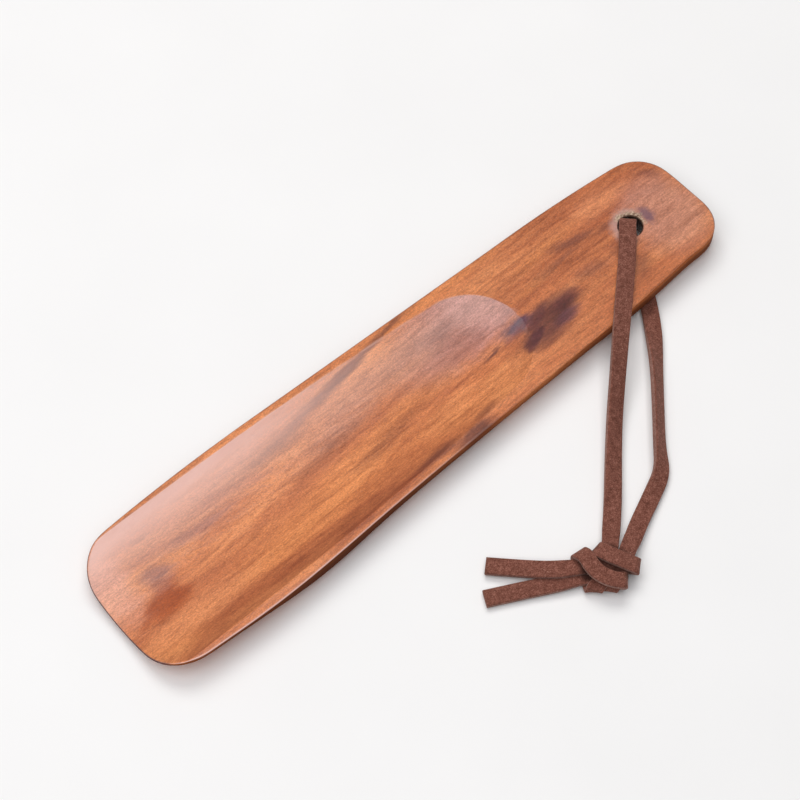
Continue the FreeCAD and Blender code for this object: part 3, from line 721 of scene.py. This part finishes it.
LACE_WIDTH = 5.0
LACE_THICK = 1.5
LACE_CORNER = 0.42  # radius of the ribbon's long edges
HOLE_SQUEEZE = 0.76  # of its width, inside the hole
HOLE_REACH = (2.4, 3.5)  # that squeeze fades between these heights above and below the middle
STRAND_SQUEEZE = 0.94  # of its width, along the strands and tails
KNOT_SQUEEZE = 0.88  # of its width and thickness, in the tight knot
KNOT_REACH = (7.5, 12.0)  # the squeeze fades between these distances from the knot's centre
CUT_EDGE = 0.985  # faces past this share of the half width are the cut edge


def knot_point(along, across, up):
    """A place given in the knot's own frame, in the part's frame."""
    turned = Vector((along, across, up))
    turned.rotate(Matrix.Rotation(KNOT_TURN, 3, "Z"))
    return KNOT_CENTRE + turned


def ribbon_route(strand, roll, knot, tail):
    """The route's points and the direction of the ribbon's width at each."""
    points = [Vector(point) for point in strand]
    points += [knot_point(*entry[:3]) for entry in knot]
    points += [Vector(point) for point in tail]
    faces = [1] * len(strand) + [entry[3] for entry in knot] + [-1] * len(tail)
    widths = []
    for index, face in enumerate(faces):
        before = points[max(index - 1, 0)]
        after = points[min(index + 1, len(points) - 1)]
        way = Vector(((after - before).x, (after - before).y, 0))
        widths.append(UP.cross(way).normalized() * face if way.length > 0.01 and face else None)
    level = [width for width in widths if width]
    widths[0] = widths[1] = level[2]
    for index, width in enumerate(widths):
        if width is None:
            before = next(each for each in reversed(widths[:index]) if each)
            after = next(each for each in widths[index + 1:] if each)
            widths[index] = (before + after).normalized()
    for index, angle in enumerate(roll):
        tilt = math.radians(angle)
        widths[index] = widths[index] * math.cos(tilt) - UP * math.sin(tilt)
    return points, widths


def nurbs_line(name, points):
    """The points that a smooth spline through the route's control points gives, in metres."""
    curve = bpy.data.curves.new(name, "CURVE")
    curve.dimensions = "3D"
    curve.resolution_u = 14
    spline = curve.splines.new("NURBS")
    spline.points.add(len(points) - 1)
    for slot, point in zip(spline.points, points):
        slot.co = (*(Vector(point) * MM), 1)
    spline.order_u = 3
    spline.use_endpoint_u = True
    item = bpy.data.objects.new(name, curve)
    mesh = bpy.data.meshes.new_from_object(item)
    line = [vertex.co.copy() for vertex in mesh.vertices]
    bpy.data.meshes.remove(mesh)
    bpy.data.objects.remove(item)
    bpy.data.curves.remove(curve)
    return line


def smooth_step(value, low, high):
    share = min(max((value - low) / (high - low), 0), 1)
    return share * share * (3 - 2 * share)


def ribbon_section():
    """The rounded outline across the ribbon, as shares of its half width and half thickness."""
    outline = []
    flat_half, thick_half = LACE_WIDTH / 2, LACE_THICK / 2
    steps = 4
    for corner in range(4):
        side_x = 1 if corner in (0, 3) else -1
        side_y = 1 if corner in (0, 1) else -1
        for step in range(steps + 1):
            angle = math.pi / 2 * (corner + step / steps)
            wide = side_x * (flat_half - LACE_CORNER) + math.cos(angle) * LACE_CORNER
            high = side_y * (thick_half - LACE_CORNER) + math.sin(angle) * LACE_CORNER
            outline.append((wide / flat_half, high / thick_half))
        if corner in (0, 2):
            flats = 7
            for step in range(1, flats):
                wide = side_x * (1 - 2 * step / flats) * (flat_half - LACE_CORNER)
                outline.append((wide / flat_half, side_y))
    return outline


def ribbon(name, strand, roll, knot, tail, materials):
    """One half of the lace, from the hole through the knot to its cut end."""
    points, widths = ribbon_route(strand, roll, knot, tail)
    line = nurbs_line(name + "_line", points)
    guide = nurbs_line(name + "_guide", [point + width for point, width in zip(points, widths)])
    section = ribbon_section()
    mesh = bmesh.new()
    rings = []
    centre = KNOT_CENTRE * MM
    for index, (here, beside) in enumerate(zip(line, guide)):
        tangent = (line[min(index + 1, len(line) - 1)] - line[max(index - 1, 0)]).normalized()
        across = beside - here
        across = (across - tangent * across.dot(tangent)).normalized()
        through = tangent.cross(across)
        away = Vector((here.x - centre.x, here.y - centre.y)).length / MM
        squeeze = KNOT_SQUEEZE + (1 - KNOT_SQUEEZE) * smooth_step(away, *KNOT_REACH)
        in_hole = math.hypot(here.x / MM - HOLE_X, here.y / MM) < HOLE_RADIUS
        depth = 1 - smooth_step(abs(here.z / MM - HOLE_MIDDLE), *HOLE_REACH) if in_hole else 0
        narrow = KNOT_SQUEEZE + (STRAND_SQUEEZE - KNOT_SQUEEZE) * smooth_step(away, *KNOT_REACH)
        wide = across * (LACE_WIDTH / 2 * narrow * (1 - (1 - HOLE_SQUEEZE) * depth) * MM)
        thick = through * (LACE_THICK / 2 * squeeze * MM)
        rings.append([mesh.verts.new(here + wide * share_x + thick * share_y)
                      for share_x, share_y in section])
    count = len(section)
    for ring, following in zip(rings, rings[1:]):
        for index in range(count):
            after = (index + 1) % count
            face = mesh.faces.new((ring[index], ring[after], following[after], following[index]))
            middle = (section[index][0] + section[after][0]) / 2
            face.material_index = 1 if abs(middle) > CUT_EDGE else 0
            face.smooth = True
    for ring in (rings[0], rings[-1]):
        cap = mesh.faces.new(ring if ring is rings[-1] else list(reversed(ring)))
        cap.material_index = 1
    bmesh.ops.recalc_face_normals(mesh, faces=mesh.faces)
    item = mesh_object(name, mesh)
    for material in materials:
        item.data.materials.append(material)
    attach(item, "lace")
    return item


def suede(name, dark, mid, light, fleck):
    """Brown suede: mottled nap with pale flecks, and painted shade in the knot's creases."""
    graph = Graph(name)
    mottle = graph.noise((0.8, 0.8, 0.8), 5, 0.7)
    nap = graph.noise((2.8, 2.8, 2.8), 3, 0.75)
    tone = graph.math("ADD", graph.math("MULTIPLY", mottle, 0.4), graph.math("MULTIPLY", nap, 0.6))
    colour = graph.ramp(tone, ((0.35, dark), (0.5, mid), (0.64, light)))
    specks = graph.span(graph.noise((2.4, 2.4, 2.4), 2, 0.5, shift=(31, 7, 3)), 0.69, 0.75)
    colour = graph.mix(graph.math("MULTIPLY", specks, 0.7), colour, fleck)
    x, y, z = graph.axes()
    side_x = graph.math("SUBTRACT", x, KNOT_CENTRE.x)
    side_y = graph.math("SUBTRACT", y, KNOT_CENTRE.y)
    reach = graph.math("SQRT", graph.math("ADD", graph.math("MULTIPLY", side_x, side_x),
                                          graph.math("MULTIPLY", side_y, side_y)))
    across = graph.math("ADD", graph.math("MULTIPLY", side_x, -math.sin(KNOT_TURN)),
                        graph.math("MULTIPLY", side_y, math.cos(KNOT_TURN)))
    # painted shade in the knot's creases, under and between its bands
    knot_crease_shade = graph.math("MULTIPLY", graph.span(reach, 7.8, 5.6), graph.span(z, 5.3, 4.3))
    knot_crease_shade = graph.math("MULTIPLY", knot_crease_shade, graph.span(across, -3.8, -2.4))
    colour = graph.mix(graph.math("MULTIPLY", knot_crease_shade, 0.80), colour, (0.030, 0.012, 0.009))
    bump = graph.node("Bump", {"Height": nap, "Strength": 0.7, "Distance": 0.0003})
    shader = graph.node("BsdfPrincipled", {"Base Color": colour, "Roughness": 0.95,
                                           "Specular IOR Level": 0.12, "Sheen Weight": 0.22,
                                           "Sheen Roughness": 0.45, "Normal": bump.outputs[0]})
    shader.inputs["Sheen Tint"].default_value = (0.90, 0.60, 0.50, 1)
    return graph.finish(shader)


def lace():
    """The two halves of the lace, from the hole to the cut ends."""
    face = suede("suede_face", (0.085, 0.029, 0.020), (0.200, 0.074, 0.052), (0.36, 0.155, 0.115),
                 (0.62, 0.36, 0.27))
    edge = suede("suede_cut_edge", (0.15, 0.068, 0.052), (0.26, 0.132, 0.104), (0.38, 0.22, 0.185),
                 (0.55, 0.34, 0.29))
    front = ribbon("lace_front_half", FRONT_STRAND, FRONT_ROLL, FRONT_KNOT, LOWER_TAIL,
                   (face, edge))
    back = ribbon("lace_back_half", BACK_STRAND, BACK_ROLL, BACK_KNOT, UPPER_TAIL,
                  (face, edge))
    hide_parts("lace_front_strand", "lace_tail_lower", "lace_knot")
    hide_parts("lace_back_strand", "lace_tail_upper")


camera()
studio()
floor()
wood()
lace()
